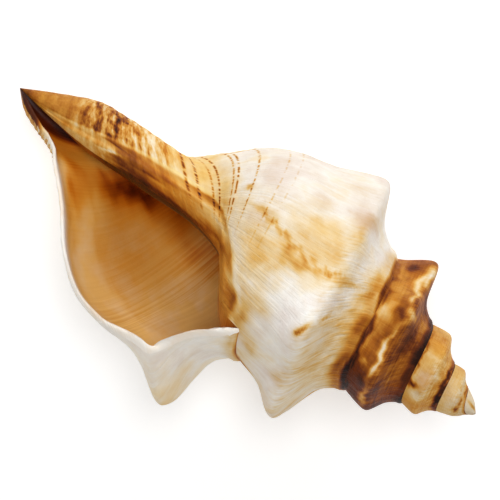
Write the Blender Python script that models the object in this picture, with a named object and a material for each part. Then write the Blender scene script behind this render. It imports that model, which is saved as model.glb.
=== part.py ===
"""A knobbed sea shell of the horse conch kind, lying on its back with its mouth up.

The shell is one wall of lime. A growing edge swept it round and down a straight axis, each turn the
same shape as the last and larger by a fixed ratio, so its surface is worked out here from a few
sections through that axis. Lengths are millimetres up to the last step, which makes metres. +Z is up,
and the point of the spire lies towards +X.
"""

import math

import bmesh
import bpy
import numpy as np
from mathutils import Matrix, Vector

MM = 0.001

# Growth. Turns count along the spiral from the knob nearest the lip, and older growth is negative.
GROWTH = 1.66  # each turn is this many times the size of the one before
LAST_GROWTH = 0.35  # past turn 0 the shell grows at this share of that rate
FIRST_TURN, START_OVER = -5.1, 0.6
LIP_TURN = 0.12

# A section is a row of stations from the seam with the turn before (0) to the end of the canal (15).
# Each is a distance along the axis from the apex point, then a radius. Whorl stations are at the size
# that the whorl has at turn 0, with three radii: one turn before turn 0 and in all older growth, half
# a turn before, and at turn 0.
WHORL = (
    (54.8, (24.0, 24.0, 24.0)),
    (60.0, (27.0, 27.0, 26.3)),
    (65.5, (31.5, 31.0, 30.5)),
    (71.0, (37.5, 36.8, 37.0)),
    (77.5, (39.3, 37.0, 37.0)),
    (85.0, (40.0, 36.0, 38.3)),
    (90.9, (39.85, 35.3, 38.6)),
    (100.0, (36.5, 33.3, 36.6)),
    (108.8, (31.0, 28.3, 30.5)),
    (117.0, (20.0, 19.5, 20.0)),
    (124.3, (11.5, 11.5, 12.0)),
)
# The canal doesn't grow by the ratio, so its stations are real distances and radii at those turns.
CANAL = (
    ((88.5, 106.3, 127.8), (3.9, 7.6, 9.4)),
    ((105.3, 117.5, 131.3), (4.6, 8.0, 7.6)),
    ((118.8, 126.3, 135.3), (4.3, 8.1, 6.0)),
    ((133.5, 136.3, 140.3), (1.4, 4.4, 3.7)),
    ((144.5, 144.5, 144.5), (0.0, 0.0, 0.0)),
)
KEY_TURNS = (-1.0, -0.5, 0.0)
SEAM, SHOULDER, NEXT_SEAM, NECK, TIP = 0, 3.2, 6, 10, 15
APEX = 3.9  # the real tip, from the point where the seams would meet

# Knobs on the shoulder: turn, rise, lean towards the apex, and how many stations they run down the
# side. Rise and lean are at turn 0's size.
KNOBS = (
    (0.0, 8.2, 5.0, 1.0),
    (-0.17, 7.5, 3.0, 1.8),
    (-0.34, 7.5, 3.0, 1.8),
    (-0.51, 5.6, 0.0, 1.9),
    (-0.655, 2.4, 0.0, 1.6),
    (-0.797, 12.5, 0.0, 1.8),
    (-1.0, 13.6, 0.0, 1.7),
    (-1.17, 11.5, 0.0, 1.8),
    (-1.34, 11.5, 0.0, 1.8),
    (-1.51, 13.5, 0.0, 1.8),
    (-1.67, 12.0, 0.0, 1.9),
    (-1.825, 7.5, 0.0, 1.8),
    (-2.0, 5.0, 0.0, 1.8),
)
OLD_PITCH, OLD_KNOB = 0.16, (4.0, 0.0, 1.8)  # the even knobs of the first turns
KNOB_WIDTH = 0.062  # half width, in turns
RAMP_REACH = 0.8  # how far a knob runs up the ramp to the seam, in stations
CLEAR_OF_SEAM = 2.2  # knobs die out from this station to the seam
PEAK = 2.0  # 2 makes a round knob and less a pointed one

# The seam of the last half turn slides down the axis by SEAM_DROP, and the shoulder beside the lip by
# LIP_DROP. Each is a distance, the turn where it starts and the turns that it takes. The shares say
# how much of it each station takes, from the seam on. The older turn that the seam lies on gives way
# by as much from station 6 on, and that fades out over ROOM_OVER turns past the lip's end.
SEAM_DROP, SEAM_SHARE = (4.0, -0.45, 0.57), (1, 0.5, 0.2)
LIP_DROP, LIP_SHARE = (5.0, -0.03, 0.14), (0, 0.35, 0.7, 1, 0.9, 0.6, 0.4, 0.2)
ROOM_SHARE, ROOM_OVER = (1, 0.75, 0.45, 0.15), 0.38

# The lip stops short of its turn by this much, in turns, at these stations.
LIP_STATIONS = (0, 1.5, 3, 4.5, 6, 8, 10, 12, 15)
LIP_SHORT = (0.004, 0.03, 0.044, 0.07, 0.082, 0.08, 0.065, 0.03, 0.0)
LIP_BLEND = 0.3

# New lime is laid over the old turn in a low roll just past the seam.
ROLL_RISE, ROLL_STATION, ROLL_WIDTH = 0.55, 0.35, 0.3

# The canal bends towards the lip's side by the first value, over a stretch of the axis.
BEND, BEND_FROM, BEND_OVER = -3.5, 105.0, 35.0

# The hollow. The wall is thinner at the lip and in the canal.
WALL, LIP_WALL, WALL_BLEND = 2.7, 1.3, 0.2
CANAL_WALL = 0.7
THICKEST = 0.35  # a wall takes up no more than this share of the radius
HOLLOW_START = 0.9  # its first station on the new wall, clear of the seam
HOLLOW_END_TURN = -1.6
HOLLOW_FIRST_DEPTHS = (0.006, 0.02, 0.045, 0.08, 0.12, 0.16)
HOLLOW_STEP = 1 / 22

# A glaze of lime spreads over the inner side of the mouth, up to this turn at these stations.
GLAZE = 0.9
GLAZE_STATIONS = (6, 7.3, 8.9, 10, 10.8, 12, 12.8, 15)
GLAZE_TURNS = (-0.88, -0.845, -0.774, -0.70, -0.70, -0.742, -0.764, -0.80)
GLAZE_EDGE = 0.03

# How the shell lies: rolled about its axis, tipped, and moved so that it rests on three small spots
# worn flat, on two knobs of its back and on its side.
ROLL, TIP_UP = -7.62, -10.05
LIES_AT = (73.10, 6.09, 45.65)

# Stations and turns at which the mesh is cut.
WHORL_CUTS = (0, 0.35, 0.8, 1.6, 2.3, 2.8, 3.2, 3.6, 4.2, 5.1, 6)
MOUTH_CUTS = (6.6, 7.3, 8, 8.6, 9.2, 9.8, 10.4, 11, 11.7, 12.4, 13.1, 13.8, 14.5, 15)
STEPS_PER_TURN = 42

CREASE = math.radians(40)
SHELL_COLOUR, SHELL_ROUGHNESS = (0.78, 0.62, 0.43, 1.0), 0.35


def smooth(x):
    """0 to 1 with no slope at either end."""
    x = np.clip(x, 0.0, 1.0)
    return x * x * (3 - 2 * x)


def eased(drop, turn):
    """A distance that comes in from one turn, over a number of turns."""
    amount, start, over = drop
    return amount * smooth((turn - start) / over)


def size_at(turn):
    """The size of the whorl against its size at turn 0."""
    return GROWTH ** np.where(turn > 0, LAST_GROWTH * turn, turn)


def between_keys(values, turn):
    """Values given at the three key turns, at these turns."""
    first, middle, last = values
    early = smooth((turn - KEY_TURNS[0]) / (KEY_TURNS[1] - KEY_TURNS[0]))
    late = smooth((turn - KEY_TURNS[1]) / (KEY_TURNS[2] - KEY_TURNS[1]))
    return first + (middle - first) * early + (last - middle) * late


def seam_room(turn):
    """The slide of the seam that lies on this turn, fading out where no seam lies on it."""
    return eased(SEAM_DROP, turn + 1) * (1 - smooth((turn - LIP_TURN + 1) / ROOM_OVER))


def all_knobs():
    made = list(KNOBS)
    turn = KNOBS[-1][0] - OLD_PITCH
    while turn > FIRST_TURN + 1:
        made.append((turn,) + OLD_KNOB)
        turn -= OLD_PITCH
    return made


def knob_push(turn, station):
    """How the knobs push a point out, as axial and radial distance."""
    off = station - SHOULDER
    push = np.zeros(turn.shape + (2,))
    for at, rise, lean, side_reach in all_knobs():
        reach = np.where(off < 0, RAMP_REACH, side_reach)
        bell = np.exp(-np.abs((turn - at) / KNOB_WIDTH) ** PEAK - np.abs(off / reach) ** PEAK)
        push += bell[..., None] * np.array((-lean, rise))
    return push * (smooth(station / CLEAR_OF_SEAM) * size_at(turn))[..., None]


def seam(turn):
    """Where this turn joins the one before: a point on that one's surface."""
    before = turn - 1
    d, radii = WHORL[NEXT_SEAM]
    along = d * size_at(before) + eased(SEAM_DROP, before) + seam_room(before)
    place = np.stack([along, between_keys(radii, before) * size_at(before)], axis=-1)
    return place + knob_push(before, np.full(turn.shape, float(NEXT_SEAM)))


def stations_at(turn):
    """Every station's distance and radius at these turns, without knobs."""
    size = size_at(turn)
    old = GROWTH ** np.minimum(turn - KEY_TURNS[0], 0.0)
    rows = [(d * size, between_keys(radii, turn) * size) for d, radii in WHORL]
    rows += [(between_keys(ds, turn) * old, between_keys(rs, turn) * old) for ds, rs in CANAL]
    rows = np.stack([np.stack(row, axis=-1) for row in rows], axis=-2)
    rows[..., :3, 0] += eased(SEAM_DROP, turn)[..., None] * np.array(SEAM_SHARE)
    rows[..., :8, 0] += eased(LIP_DROP, turn)[..., None] * np.array(LIP_SHARE)
    rows[..., 6:10, 0] += seam_room(turn)[..., None] * np.array(ROOM_SHARE)
    rows[..., SEAM, :] = seam(turn)
    return rows


def read_curve(rows, station):
    """Each row of stations is a smooth curve, read here at one fractional station."""
    slopes = np.gradient(rows, axis=-2)
    low = np.clip(np.floor(station).astype(int), 0, TIP - 1)
    pick = lambda values, at: np.take_along_axis(values, at[..., None, None], axis=-2)[..., 0, :]
    a, b, slope_a, slope_b = pick(rows, low), pick(rows, low + 1), pick(slopes, low), pick(slopes, low + 1)
    x = (station - low)[..., None]
    start = a * (1 + 2 * x) * (1 - x) ** 2 + slope_a * x * (1 - x) ** 2
    return start + b * x**2 * (3 - 2 * x) + slope_b * x**2 * (x - 1)


def glaze(turn, station):
    """The thickness of the glaze on the inner side of the mouth."""
    edge = np.interp(station, GLAZE_STATIONS, GLAZE_TURNS)
    ends = smooth(station - NEXT_SEAM) * smooth((TIP - station) / 3)
    return GLAZE * smooth((edge - turn) / GLAZE_EDGE) * ends


def seam_roll(turn, station):
    """The low roll beside the seam."""
    bump = np.exp(-(((station - ROLL_STATION) / ROLL_WIDTH) ** 2)) * smooth(station / ROLL_STATION)
    return ROLL_RISE * bump * size_at(turn)


def section(turn, station):
    """The outer surface at these turns and stations, as distance along the axis and radius."""
    turn, station = np.broadcast_arrays(np.asarray(turn, float), np.asarray(station, float))
    rows = read_curve(stations_at(turn), station) + knob_push(turn, station)
    rows[..., 1] += glaze(turn, station) + seam_roll(turn, station)
    share = np.clip(station / NEXT_SEAM, 0, 1)
    started = lambda at: np.sin(math.pi / 2 * np.clip((at - FIRST_TURN) / START_OVER, 0, 1))
    whole = started(turn - 1) * (1 - share) + started(turn) * share
    rows[..., 0] = APEX + (rows[..., 0] - APEX) * whole
    rows[..., 1] *= np.where(station == TIP, 0.0, whole)
    return rows


def lip_turn(turn, station):
    """The turn at which each station really lies, so that the last growth follows the lip's outline."""
    short = np.interp(station, LIP_STATIONS, LIP_SHORT)
    return turn - short * smooth((turn - LIP_TURN + LIP_BLEND) / LIP_BLEND)


def place(turn, rows):
    """Points with the apex towards +X, the canal's back towards +Y and the mouth towards +Z."""
    angle = math.pi - 2 * math.pi * turn
    d, r = rows[..., 0], rows[..., 1]
    bend = BEND * smooth((d - BEND_FROM) / BEND_OVER)
    return np.stack([-d, r * np.cos(angle) + bend, r * np.sin(angle)], axis=-1)


def outer_points(turns, stations):
    """A sheet of the outer surface, one row to a turn."""
    turn, station = np.meshgrid(np.asarray(turns, float), np.asarray(stations, float), indexing="ij")
    turn = lip_turn(turn, station)
    return place(turn, section(turn, station))


def read_off(at, x, y):
    """y where x is at, whichever way round the curve runs."""
    order = np.argsort(x)
    return np.interp(at, x[order], y[order])


def hollow_loop(turn):
    """One loop of the hollow: out along the inside of the wall, then back along the older turn."""
    fine = np.linspace(HOLLOW_START, TIP, 120)
    turns = lip_turn(turn, fine)
    skin = section(turns, fine)
    slope = np.gradient(skin, axis=0)
    inward = np.stack([slope[:, 1], -slope[:, 0]], axis=1) / np.linalg.norm(slope, axis=1)[:, None]
    inside = smooth((LIP_TURN - turn) / WALL_BLEND)
    thick = LIP_WALL + (WALL * size_at(turn) - LIP_WALL) * inside
    thick = thick * (1 - (1 - CANAL_WALL) * smooth((fine - NEXT_SEAM) / 4))
    curve = skin + inward * np.minimum(thick, THICKEST * skin[:, 1])[:, None]

    along = np.array(WHORL_CUTS[1:] + MOUTH_CUTS, float)
    in_body = along < NECK
    body = along[in_body]
    at = HOLLOW_START + (body - body[0]) / (body[-1] - body[0]) * (NECK - HOLLOW_START)
    rows = np.stack([np.interp(at, fine, curve[:, i]) for i in (0, 1)], axis=1)

    # Past the neck the hollow narrows to the point where the older turn's canal ended.
    core = section(turn - 1, np.linspace(NEXT_SEAM, TIP, 60))
    share = (along[~in_body] - body[-1]) / (TIP - body[-1])
    d = rows[-1, 0] + (core[-1, 0] - rows[-1, 0]) * share
    canal = fine > NECK - 0.5
    r_core = read_off(d, core[:, 0], core[:, 1])
    gap = np.maximum(read_off(d, curve[canal, 0], curve[canal, 1]) - r_core, 0.0)
    tail = np.stack([d, r_core + gap * np.sqrt(1 - share**3)], axis=1)
    tail[-1] = core[-1]

    older = section(turn - 1, np.array(MOUTH_CUTS))
    tail_turns = read_off(d, curve[canal, 0], turns[canal])
    rows = np.concatenate([older[:1], rows, tail, older[-2:0:-1]])
    ends = ([turn], np.interp(at, fine, turns), tail_turns, np.full(len(older) - 2, turn))
    return place(np.concatenate(ends), rows)


def mouth_edge():
    """The hollow's first loop: the outer edge of the lip, then the older turn's side of the mouth."""
    lip = outer_points([LIP_TURN], WHORL_CUTS + MOUTH_CUTS)[0]
    back = outer_points([LIP_TURN - 1], MOUTH_CUTS)[0][-2:0:-1]
    return np.concatenate([lip, back])


def hollow_sheet():
    """The loops of the hollow, each closed on its own first point."""
    depths = list(HOLLOW_FIRST_DEPTHS)
    while LIP_TURN - depths[-1] > HOLLOW_END_TURN:
        depths.append(depths[-1] + HOLLOW_STEP)
    loops = np.array([mouth_edge()] + [hollow_loop(LIP_TURN - depth) for depth in depths])
    return np.concatenate([loops, loops[:, :1]], axis=1)


def turns_between(first, last):
    """Turns counted back from the last in even steps, so that seams meet point to point."""
    count = math.ceil((last - first) * STEPS_PER_TURN - 1e-6)
    return [max(last - i / STEPS_PER_TURN, first) for i in range(count, -1, -1)]


def add_sheet(bm, points):
    """A flat grid primitive, rolled up onto an array of points that has its rows and columns."""
    rows, columns = points.shape[0] - 1, points.shape[1] - 1
    made = bmesh.ops.create_grid(bm, x_segments=rows, y_segments=columns, size=0.5)
    for vert in made["verts"]:
        i = round((vert.co.x + 0.5) * rows)
        j = round((vert.co.y + 0.5) * columns)
        vert.co = points[i, j]


def shell_mesh():
    """The outside of the spire, the outside of the last turn and the hollow, closed into one skin."""
    bm = bmesh.new()
    add_sheet(bm, outer_points(turns_between(FIRST_TURN, LIP_TURN - 1), WHORL_CUTS) * MM)
    add_sheet(bm, outer_points(turns_between(LIP_TURN - 1, LIP_TURN), WHORL_CUTS + MOUTH_CUTS) * MM)
    add_sheet(bm, hollow_sheet() * MM)
    bmesh.ops.remove_doubles(bm, verts=bm.verts, dist=2e-6)
    bmesh.ops.holes_fill(bm, edges=[edge for edge in bm.edges if edge.is_boundary], sides=0)
    bmesh.ops.recalc_face_normals(bm, faces=bm.faces)

    # Lay it down and wear it flat where it rests.
    down = Matrix.Rotation(math.radians(TIP_UP), 4, "Y") @ Matrix.Rotation(math.radians(ROLL), 4, "X")
    bmesh.ops.transform(bm, matrix=Matrix.Translation(Vector(LIES_AT) * MM) @ down, verts=bm.verts)
    everything = bm.verts[:] + bm.edges[:] + bm.faces[:]
    bmesh.ops.bisect_plane(bm, geom=everything, plane_co=(0, 0, 0), plane_no=(0, 0, 1), clear_inner=True)
    bmesh.ops.holes_fill(bm, edges=[edge for edge in bm.edges if edge.is_boundary], sides=0)
    bmesh.ops.recalc_face_normals(bm, faces=bm.faces)
    bmesh.ops.triangulate(bm, faces=[face for face in bm.faces if len(face.verts) > 4])
    mesh = bpy.data.meshes.new("shell")
    bm.to_mesh(mesh)
    bm.free()
    mesh.shade_smooth()
    mesh.set_sharp_from_angle(angle=CREASE)
    return mesh


def shell_material():
    material = bpy.data.materials.new("shell lime")
    material.use_nodes = True
    shader = material.node_tree.nodes["Principled BSDF"]
    shader.inputs["Base Color"].default_value = SHELL_COLOUR
    shader.inputs["Roughness"].default_value = SHELL_ROUGHNESS
    shader.inputs["Metallic"].default_value = 0.0
    return material


def main():
    for obj in list(bpy.data.objects):
        bpy.data.objects.remove(obj)
    collection = bpy.data.collections.new("Conch shell")
    bpy.context.scene.collection.children.link(collection)
    mesh = shell_mesh()
    mesh.materials.append(shell_material())
    collection.objects.link(bpy.data.objects.new("shell", mesh))


main()
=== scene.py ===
# %% [markdown]
# # A knobbed conch shell, lying with its mouth up
# A sea snail builds its shell by adding lime to the rim of the mouth, and it turns about a fixed line
# as it does so. Each turn has the shape of the last and is larger by a fixed ratio, so one law gives
# the whole surface: how many turns ago the lime was laid down, and how far along the rim it lies.
# Modelled by hand, the knobs and seams would never line up from turn to turn. Here three flat grids
# are rolled up by that law, and the same two numbers then place every stripe, line and blotch.
# The frame comes first, because it says how large the shell is and where it rests.

# %% Load the frame
import math

import bpy
import numpy as np
from mathutils import Matrix, Vector


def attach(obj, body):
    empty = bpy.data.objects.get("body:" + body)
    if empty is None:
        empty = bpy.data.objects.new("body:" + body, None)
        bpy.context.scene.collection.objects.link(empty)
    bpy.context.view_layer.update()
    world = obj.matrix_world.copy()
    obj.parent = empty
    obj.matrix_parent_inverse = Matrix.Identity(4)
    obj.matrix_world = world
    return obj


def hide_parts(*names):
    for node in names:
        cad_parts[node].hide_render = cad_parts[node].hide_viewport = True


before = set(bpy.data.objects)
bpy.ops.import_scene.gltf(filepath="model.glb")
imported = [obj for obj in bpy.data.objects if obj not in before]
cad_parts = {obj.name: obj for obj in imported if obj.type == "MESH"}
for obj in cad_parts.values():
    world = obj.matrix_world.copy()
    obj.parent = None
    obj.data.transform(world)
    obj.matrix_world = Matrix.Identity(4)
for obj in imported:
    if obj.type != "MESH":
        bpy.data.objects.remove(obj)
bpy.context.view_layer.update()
MM = 0.001

# %% [markdown]
# ## The law of growth
# Turns count along the spiral from the knob nearest the lip, and older growth is negative. Stations
# run along the rim: 0 is the seam with the turn before, 3.2 the knobbed shoulder, 6 the line where the
# next turn's seam comes, 10 the neck and 15 the end of the canal. A station is a distance along the
# axis from the point where all seams would meet, then a radius, in millimetres. The whorl's stations
# are at the size it has at turn 0, with a radius for one turn earlier, for half a turn earlier and
# for turn 0.

# %% Driving dimensions of the growth
GROWTH = 1.66
LAST_GROWTH = 0.35
FIRST_TURN, START_OVER = -5.1, 0.6
LIP_TURN = 0.12
WHORL = (
    (54.8, (24.0, 24.0, 24.0)),
    (60.0, (27.0, 27.0, 26.3)),
    (65.5, (31.5, 31.0, 30.5)),
    (71.0, (37.5, 36.8, 37.0)),
    (77.5, (39.3, 37.0, 37.0)),
    (85.0, (40.0, 36.0, 38.3)),
    (90.9, (39.85, 35.3, 38.6)),
    (100.0, (36.5, 33.3, 36.6)),
    (108.8, (31.0, 28.3, 30.5)),
    (117.0, (20.0, 19.5, 20.0)),
    (124.3, (11.5, 11.5, 12.0)),
)
# The canal keeps its real distances and radii at those three turns.
CANAL = (
    ((88.5, 106.3, 127.8), (3.9, 7.6, 9.4)),
    ((105.3, 117.5, 131.3), (4.6, 8.0, 7.6)),
    ((118.8, 126.3, 135.3), (4.3, 8.1, 6.0)),
    ((133.5, 136.3, 140.3), (1.4, 4.4, 3.7)),
    ((144.5, 144.5, 144.5), (0.0, 0.0, 0.0)),
)
KEY_TURNS = (-1.0, -0.5, 0.0)
SEAM, SHOULDER, NEXT_SEAM, NECK, TIP = 0, 3.2, 6, 10, 15
APEX = 3.9
print(len(WHORL) + len(CANAL), "stations over", round(LIP_TURN - FIRST_TURN, 2), "turns")


# %% Helpers for values that change along the growth
def smooth(x):
    """0 to 1 with no slope at either end."""
    x = np.clip(x, 0.0, 1.0)
    return x * x * (3 - 2 * x)


def from_to(x, start, full):
    """0 at the start to 1 at the full, whichever of them is larger."""
    return smooth((x - start) / (full - start))


def waves(rows, turn, station):
    """A sum of waves: height of each, how fast it runs with turn and with station, and its start."""
    return sum(high * np.sin(fast * turn + slow * station + start) for high, fast, slow, start in rows)


def eased(drop, turn):
    """A distance that comes in from one turn, over a number of turns."""
    amount, start, over = drop
    return amount * smooth((turn - start) / over)


def size_at(turn):
    """The size of the whorl against its size at turn 0."""
    return GROWTH ** np.where(turn > 0, LAST_GROWTH * turn, turn)


def between_keys(values, turn):
    """Values given at the three key turns, at these turns."""
    first, middle, last = values
    early = smooth((turn - KEY_TURNS[0]) / (KEY_TURNS[1] - KEY_TURNS[0]))
    late = smooth((turn - KEY_TURNS[1]) / (KEY_TURNS[2] - KEY_TURNS[1]))
    return first + (middle - first) * early + (last - middle) * late


# %% [markdown]
# ## Knobs
# The snail flares its rim outwards every sixth of a turn or so, and lime laid over the flare leaves a
# knob. No two are alike on this shell, so the last two turns list theirs one by one: turn, rise, lean
# towards the apex, and how many stations they run down the side. The first turns have even ones.

# %% Knobs on the shoulder
KNOBS = (
    (0.0, 8.2, 5.0, 1.0),
    (-0.17, 7.5, 3.0, 1.8),
    (-0.34, 7.5, 3.0, 1.8),
    (-0.51, 5.6, 0.0, 1.9),
    (-0.655, 2.4, 0.0, 1.6),
    (-0.797, 12.5, 0.0, 1.8),
    (-1.0, 13.6, 0.0, 1.7),
    (-1.17, 11.5, 0.0, 1.8),
    (-1.34, 11.5, 0.0, 1.8),
    (-1.51, 13.5, 0.0, 1.8),
    (-1.67, 12.0, 0.0, 1.9),
    (-1.825, 7.5, 0.0, 1.8),
    (-2.0, 5.0, 0.0, 1.8),
)
OLD_PITCH, OLD_KNOB = 0.16, (4.0, 0.0, 1.8)
KNOB_WIDTH, RAMP_REACH, CLEAR_OF_SEAM = 0.062, 0.8, 2.2
PEAK = 2.0  # 2 makes a round knob and less a pointed one


def all_knobs():
    made = list(KNOBS)
    turn = KNOBS[-1][0] - OLD_PITCH
    while turn > FIRST_TURN + 1:
        made.append((turn,) + OLD_KNOB)
        turn -= OLD_PITCH
    return made


def knob_push(turn, station):
    """How the knobs push a point out, as axial and radial distance."""
    off = station - SHOULDER
    push = np.zeros(turn.shape + (2,))
    for at, rise, lean, side_reach in all_knobs():
        reach = np.where(off < 0, RAMP_REACH, side_reach)
        bell = np.exp(-np.abs((turn - at) / KNOB_WIDTH) ** PEAK - np.abs(off / reach) ** PEAK)
        push += bell[..., None] * np.array((-lean, rise))
    return push * (smooth(station / CLEAR_OF_SEAM) * size_at(turn))[..., None]


print(len(all_knobs()), "knobs on the shoulder")

# %% [markdown]
# ## Seams, lip and canal
# Each new turn is glued to the side of the older one. On the last half turn of this shell the seam
# slides a little way down, and beside the lip so does the shoulder. The older turn gives way by as
# much. The rim isn't straight either: it stops short on the side of the mouth. A smooth curve through
# the stations then makes one section of the shell.

# %% Seam, lip and glaze
SEAM_DROP, SEAM_SHARE = (4.0, -0.45, 0.57), (1, 0.5, 0.2)
LIP_DROP, LIP_SHARE = (5.0, -0.03, 0.14), (0, 0.35, 0.7, 1, 0.9, 0.6, 0.4, 0.2)
ROOM_SHARE, ROOM_OVER = (1, 0.75, 0.45, 0.15), 0.38
LIP_STATIONS = (0, 1.5, 3, 4.5, 6, 8, 10, 12, 15)
LIP_SHORT = (0.004, 0.03, 0.044, 0.07, 0.082, 0.08, 0.065, 0.03, 0.0)
LIP_BLEND = 0.3
LIP_JAG, JAG_RATE, JAG_FROM, JAG_REACH = 0.0035, 14.0, 0.3, 1.6  # the ragged end beside the seam
SEAM_ROLL, SEAM_ROLL_AT, SEAM_ROLL_WIDTH = 0.55, 0.35, 0.3
BEND, BEND_FROM, BEND_OVER = -3.5, 105.0, 35.0
GLAZE = 0.9
GLAZE_STATIONS = (6, 7.3, 8.9, 10, 10.8, 12, 12.8, 15)
GLAZE_TURNS = (-0.88, -0.845, -0.774, -0.70, -0.70, -0.742, -0.764, -0.80)
GLAZE_EDGE, GLAZE_END = 0.03, 3.0  # how softly it ends, in turns, and towards the tip, in stations


# %% Every station at a turn, with the seam on the older turn
def seam_room(turn):
    """The slide of the seam that lies on this turn, fading out where no seam lies on it."""
    return eased(SEAM_DROP, turn + 1) * (1 - smooth((turn - LIP_TURN + 1) / ROOM_OVER))


def seam(turn):
    """Where this turn joins the one before: a point on that one's surface."""
    before = turn - 1
    d, radii = WHORL[NEXT_SEAM]
    along = d * size_at(before) + eased(SEAM_DROP, before) + seam_room(before)
    place = np.stack([along, between_keys(radii, before) * size_at(before)], axis=-1)
    return place + knob_push(before, np.full(turn.shape, float(NEXT_SEAM)))


def stations_at(turn):
    """Every station's distance and radius at these turns, without knobs."""
    size = size_at(turn)
    old = GROWTH ** np.minimum(turn - KEY_TURNS[0], 0.0)
    rows = [(d * size, between_keys(radii, turn) * size) for d, radii in WHORL]
    rows += [(between_keys(ds, turn) * old, between_keys(rs, turn) * old) for ds, rs in CANAL]
    rows = np.stack([np.stack(row, axis=-1) for row in rows], axis=-2)
    rows[..., :3, 0] += eased(SEAM_DROP, turn)[..., None] * np.array(SEAM_SHARE)
    rows[..., :8, 0] += eased(LIP_DROP, turn)[..., None] * np.array(LIP_SHARE)
    rows[..., 6:10, 0] += seam_room(turn)[..., None] * np.array(ROOM_SHARE)
    rows[..., SEAM, :] = seam(turn)
    return rows


# %% One section of the shell
def read_curve(rows, station):
    """Each row of stations is a smooth curve, read here at one fractional station."""
    slopes = np.gradient(rows, axis=-2)
    low = np.clip(np.floor(station).astype(int), 0, TIP - 1)
    pick = lambda values, at: np.take_along_axis(values, at[..., None, None], axis=-2)[..., 0, :]
    a, b, slope_a, slope_b = pick(rows, low), pick(rows, low + 1), pick(slopes, low), pick(slopes, low + 1)
    x = (station - low)[..., None]
    start = a * (1 + 2 * x) * (1 - x) ** 2 + slope_a * x * (1 - x) ** 2
    return start + b * x**2 * (3 - 2 * x) + slope_b * x**2 * (x - 1)


def glazed(turn, station):
    """How far the glaze of the mouth covers a point of the outside, 0 to 1."""
    edge = np.interp(station, GLAZE_STATIONS, GLAZE_TURNS)
    in_mouth = smooth(station - NEXT_SEAM) * smooth((TIP - station) / GLAZE_END)
    return smooth((edge - turn) / GLAZE_EDGE) * in_mouth


def seam_roll(turn, station):
    """New lime is laid over the old turn in a low roll just past the seam."""
    off = (station - SEAM_ROLL_AT) / SEAM_ROLL_WIDTH
    return SEAM_ROLL * np.exp(-(off**2)) * smooth(station / SEAM_ROLL_AT) * size_at(turn)


def section(turn, station):
    """The outer surface at these turns and stations, as distance along the axis and radius."""
    turn, station = np.broadcast_arrays(np.asarray(turn, float), np.asarray(station, float))
    rows = read_curve(stations_at(turn), station) + knob_push(turn, station)
    rows[..., 1] += GLAZE * glazed(turn, station) + seam_roll(turn, station)
    share = np.clip(station / NEXT_SEAM, 0, 1)
    started = lambda at: np.sin(math.pi / 2 * np.clip((at - FIRST_TURN) / START_OVER, 0, 1))
    whole = started(turn - 1) * (1 - share) + started(turn) * share
    rows[..., 0] = APEX + (rows[..., 0] - APEX) * whole
    rows[..., 1] *= np.where(station == TIP, 0.0, whole)
    return rows


# %% The lip's outline, and a point's place
def lip_turn(turn, station):
    """The turn at which each station really lies, so that the last growth follows the lip's outline."""
    short = np.interp(station, LIP_STATIONS, LIP_SHORT)
    ragged = smooth(station / JAG_FROM) * (1 - smooth(station / JAG_REACH))
    short = short + LIP_JAG * ragged * np.sin(JAG_RATE * station)
    return turn - short * smooth((turn - LIP_TURN + LIP_BLEND) / LIP_BLEND)


def place(turn, rows):
    """Points with the apex towards +X, the canal's back towards +Y and the mouth towards +Z."""
    angle = math.pi - 2 * math.pi * turn
    d, r = rows[..., 0], rows[..., 1]
    bend = BEND * smooth((d - BEND_FROM) / BEND_OVER)
    return np.stack([-d, r * np.cos(angle) + bend, r * np.sin(angle)], axis=-1)


print("the lip knob's top is", round(float(section(0.0, SHOULDER)[1]), 1), "mm from the axis")

# %% [markdown]
# ## Relief
# The rim leaves its mark as it moves on: low folds along each old rim, crossed by faint cords that run
# round the shell. What is wide enough to have an outline is made in the mesh, along the surface's own
# normal, and what is finer is left to the bump of the material. Relief dies out at the seams, so that
# the turns still meet, and under the glaze, which has filled it in.

# %% Growth folds and cords
FOLDS = ((23, 0.10), (41, 0.07))  # per turn, and height in mm
CORD_PITCH, CORD_HEIGHT = 0.36, 0.10  # in stations and mm
WANDER = ((0.35, 9.0, 3.1, 0), (0.25, -23.0, 1.7, 0))
FOLD_SWAY, CORD_SWAY = 2.0, 0.04
NECK_RELIEF, NECK_LOSS = (7.0, 8.5), 0.6  # stations where cords come in, and how much the folds lose
FREE_OVER, SEAM_CLEAR, COVERED, TIP_CLEAR = 0.05, 0.6, (5.2, 5.9), 2.0
NORMAL_STEP = 0.05
LEAN, LEAN_OVER = 0.07, 4.0


def relief(turn, station):
    """Height of the relief over the plain surface, in mm."""
    wander = waves(WANDER, turn, station)
    sway = FOLD_SWAY * wander
    folds = sum(h * np.sin(2 * math.pi * n * turn + sway + k) for k, (n, h) in enumerate(FOLDS))
    cords = CORD_HEIGHT * np.cos(2 * math.pi * (station + CORD_SWAY * wander) / CORD_PITCH)
    neck = from_to(station, *NECK_RELIEF)
    high = (folds * (1 - NECK_LOSS * neck) + cords * neck) * np.minimum(size_at(turn), 1.0)
    free = smooth((turn - LIP_TURN + 1) / FREE_OVER)
    clear = smooth(station / SEAM_CLEAR) * np.maximum(1 - from_to(station, *COVERED), free)
    return high * clear * (1 - glazed(turn, station)) * smooth((TIP - station) / TIP_CLEAR)


# %% The outer surface as a sheet of points
def outer_rows(turn, station):
    """The outer surface with its relief."""
    rows = section(turn, station)
    ahead = section(turn, np.minimum(station + NORMAL_STEP, TIP))
    behind = section(turn, np.maximum(station - NORMAL_STEP, 0.0))
    slope = ahead - behind
    outward = np.stack([-slope[..., 1], slope[..., 0]], axis=-1)
    outward /= np.linalg.norm(outward, axis=-1, keepdims=True) + 1e-9
    return rows + outward * relief(turn, station)[..., None]


def growth_line(turn, station):
    """Each old rim leans: beside the seam it is younger than on the side. This turns it upright."""
    return turn + LEAN * smooth(station / LEAN_OVER)


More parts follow.
